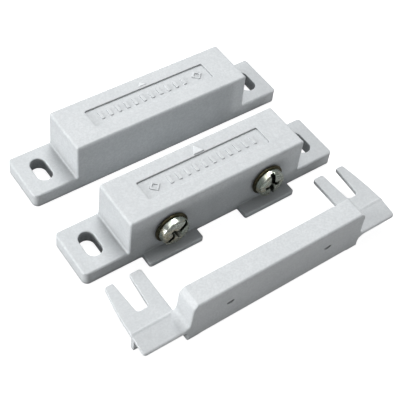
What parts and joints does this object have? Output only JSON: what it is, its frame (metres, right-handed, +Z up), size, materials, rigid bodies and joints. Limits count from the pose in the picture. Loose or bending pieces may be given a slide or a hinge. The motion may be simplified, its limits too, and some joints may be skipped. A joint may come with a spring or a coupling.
{
  "type": "door contact sensor",
  "caption": "Surface-mount magnetic door contact: slotted-ear reed switch block with two screw terminals, slide-on terminal cover and a matching magnet block.",
  "frame": {"origin": "centre of the switch unit's base, on the face that meets the door frame", "axes": "+X along the units' length, +Y from the switch unit towards the magnet unit (the terminals face -Y), +Z up away from the mounting surface"},
  "size_m": [0.065, 0.055, 0.0126],
  "materials": {
    "housing_plastic": "light grey moulded ABS, fine spark texture",
    "cover_plastic": "light grey moulded ABS, fine spark texture",
    "potting_resin": "poured epoxy, dark, slightly wavy",
    "reed_glass": "clear greenish infra-red absorbing glass",
    "reed_alloy": "nickel-iron wire, flattened inside the glass",
    "brass": "turned brass",
    "tinned_brass": "tin-plated stamped brass",
    "zinc_yellow": "yellow-passivated zinc plate",
    "zinc_screw": "bright zinc plate with a faint yellow-green tint",
    "solder": "bright solder",
    "magnet_alloy": "ground aluminium-nickel-cobalt alloy"
  },
  "bodies": {
    "switch_unit": {"switch_housing": "housing_plastic", "switch_potting": "potting_resin", "reed_glass_tube": "reed_glass", "reed_lead_left": "reed_alloy", "reed_lead_right": "reed_alloy", "terminal_insert_left": "brass", "terminal_insert_right": "brass", "terminal_tag_left": "tinned_brass", "terminal_tag_right": "tinned_brass", "solder_joint_left": "solder", "solder_joint_right": "solder"},
    "magnet_unit": {"magnet_housing": "housing_plastic", "bar_magnet": "magnet_alloy", "magnet_potting": "potting_resin"},
    "cover": {"terminal_cover": "cover_plastic"},
    "washer_left": {"terminal_washer_left": "zinc_yellow"},
    "washer_right": {"terminal_washer_right": "zinc_yellow"},
    "screw_left": {"terminal_screw_left": "zinc_screw"},
    "screw_right": {"terminal_screw_right": "zinc_screw"},
    "blade_left": {"reed_blade_left": "reed_alloy"},
    "blade_right": {"reed_blade_right": "reed_alloy"}
  },
  "joints": [
    {"name": "magnet_travel", "type": "slide", "parent": "switch_unit", "child": "magnet_unit", "axis": [0, 1, 0], "range_m": [-0.008, 0.025]},
    {"name": "cover_slide", "type": "slide", "parent": "switch_unit", "child": "cover", "axis": [0, -1, 0], "range_m": [-0.0159, 0.01]},
    {"name": "washer_left_slide", "type": "slide", "parent": "switch_unit", "child": "washer_left", "axis": [0, -1, 0], "range_m": [-0.00022, 0.00238]},
    {"name": "screw_left_turn", "type": "hinge", "parent": "washer_left", "child": "screw_left", "pos_m": [-0.0122, -0.007, 0.0063], "axis": [0, -1, 0], "range_deg": [-100, 1080]},
    {"name": "washer_right_slide", "type": "slide", "parent": "switch_unit", "child": "washer_right", "axis": [0, -1, 0], "range_m": [-0.00022, 0.00238]},
    {"name": "screw_right_turn", "type": "hinge", "parent": "washer_right", "child": "screw_right", "pos_m": [0.0122, -0.007, 0.0063], "axis": [0, -1, 0], "range_deg": [-100, 1080]},
    {"name": "reed_left_flex", "type": "hinge", "parent": "switch_unit", "child": "blade_left", "pos_m": [-0.00575, 0.0022, 0.00641], "axis": [0, -1, 0], "range_deg": [0, 1]},
    {"name": "reed_right_flex", "type": "hinge", "parent": "switch_unit", "child": "blade_right", "pos_m": [0.00575, 0.0022, 0.00619], "axis": [0, -1, 0], "range_deg": [0, 1]}
  ],
  "couplings": [
    {"joint": "screw_left_turn", "follows": "washer_left_slide", "rad_per_m": 7916},
    {"joint": "screw_right_turn", "follows": "washer_right_slide", "rad_per_m": 7916},
    {"joint": "reed_right_flex", "follows": "reed_left_flex", "ratio": 1}
  ]
}
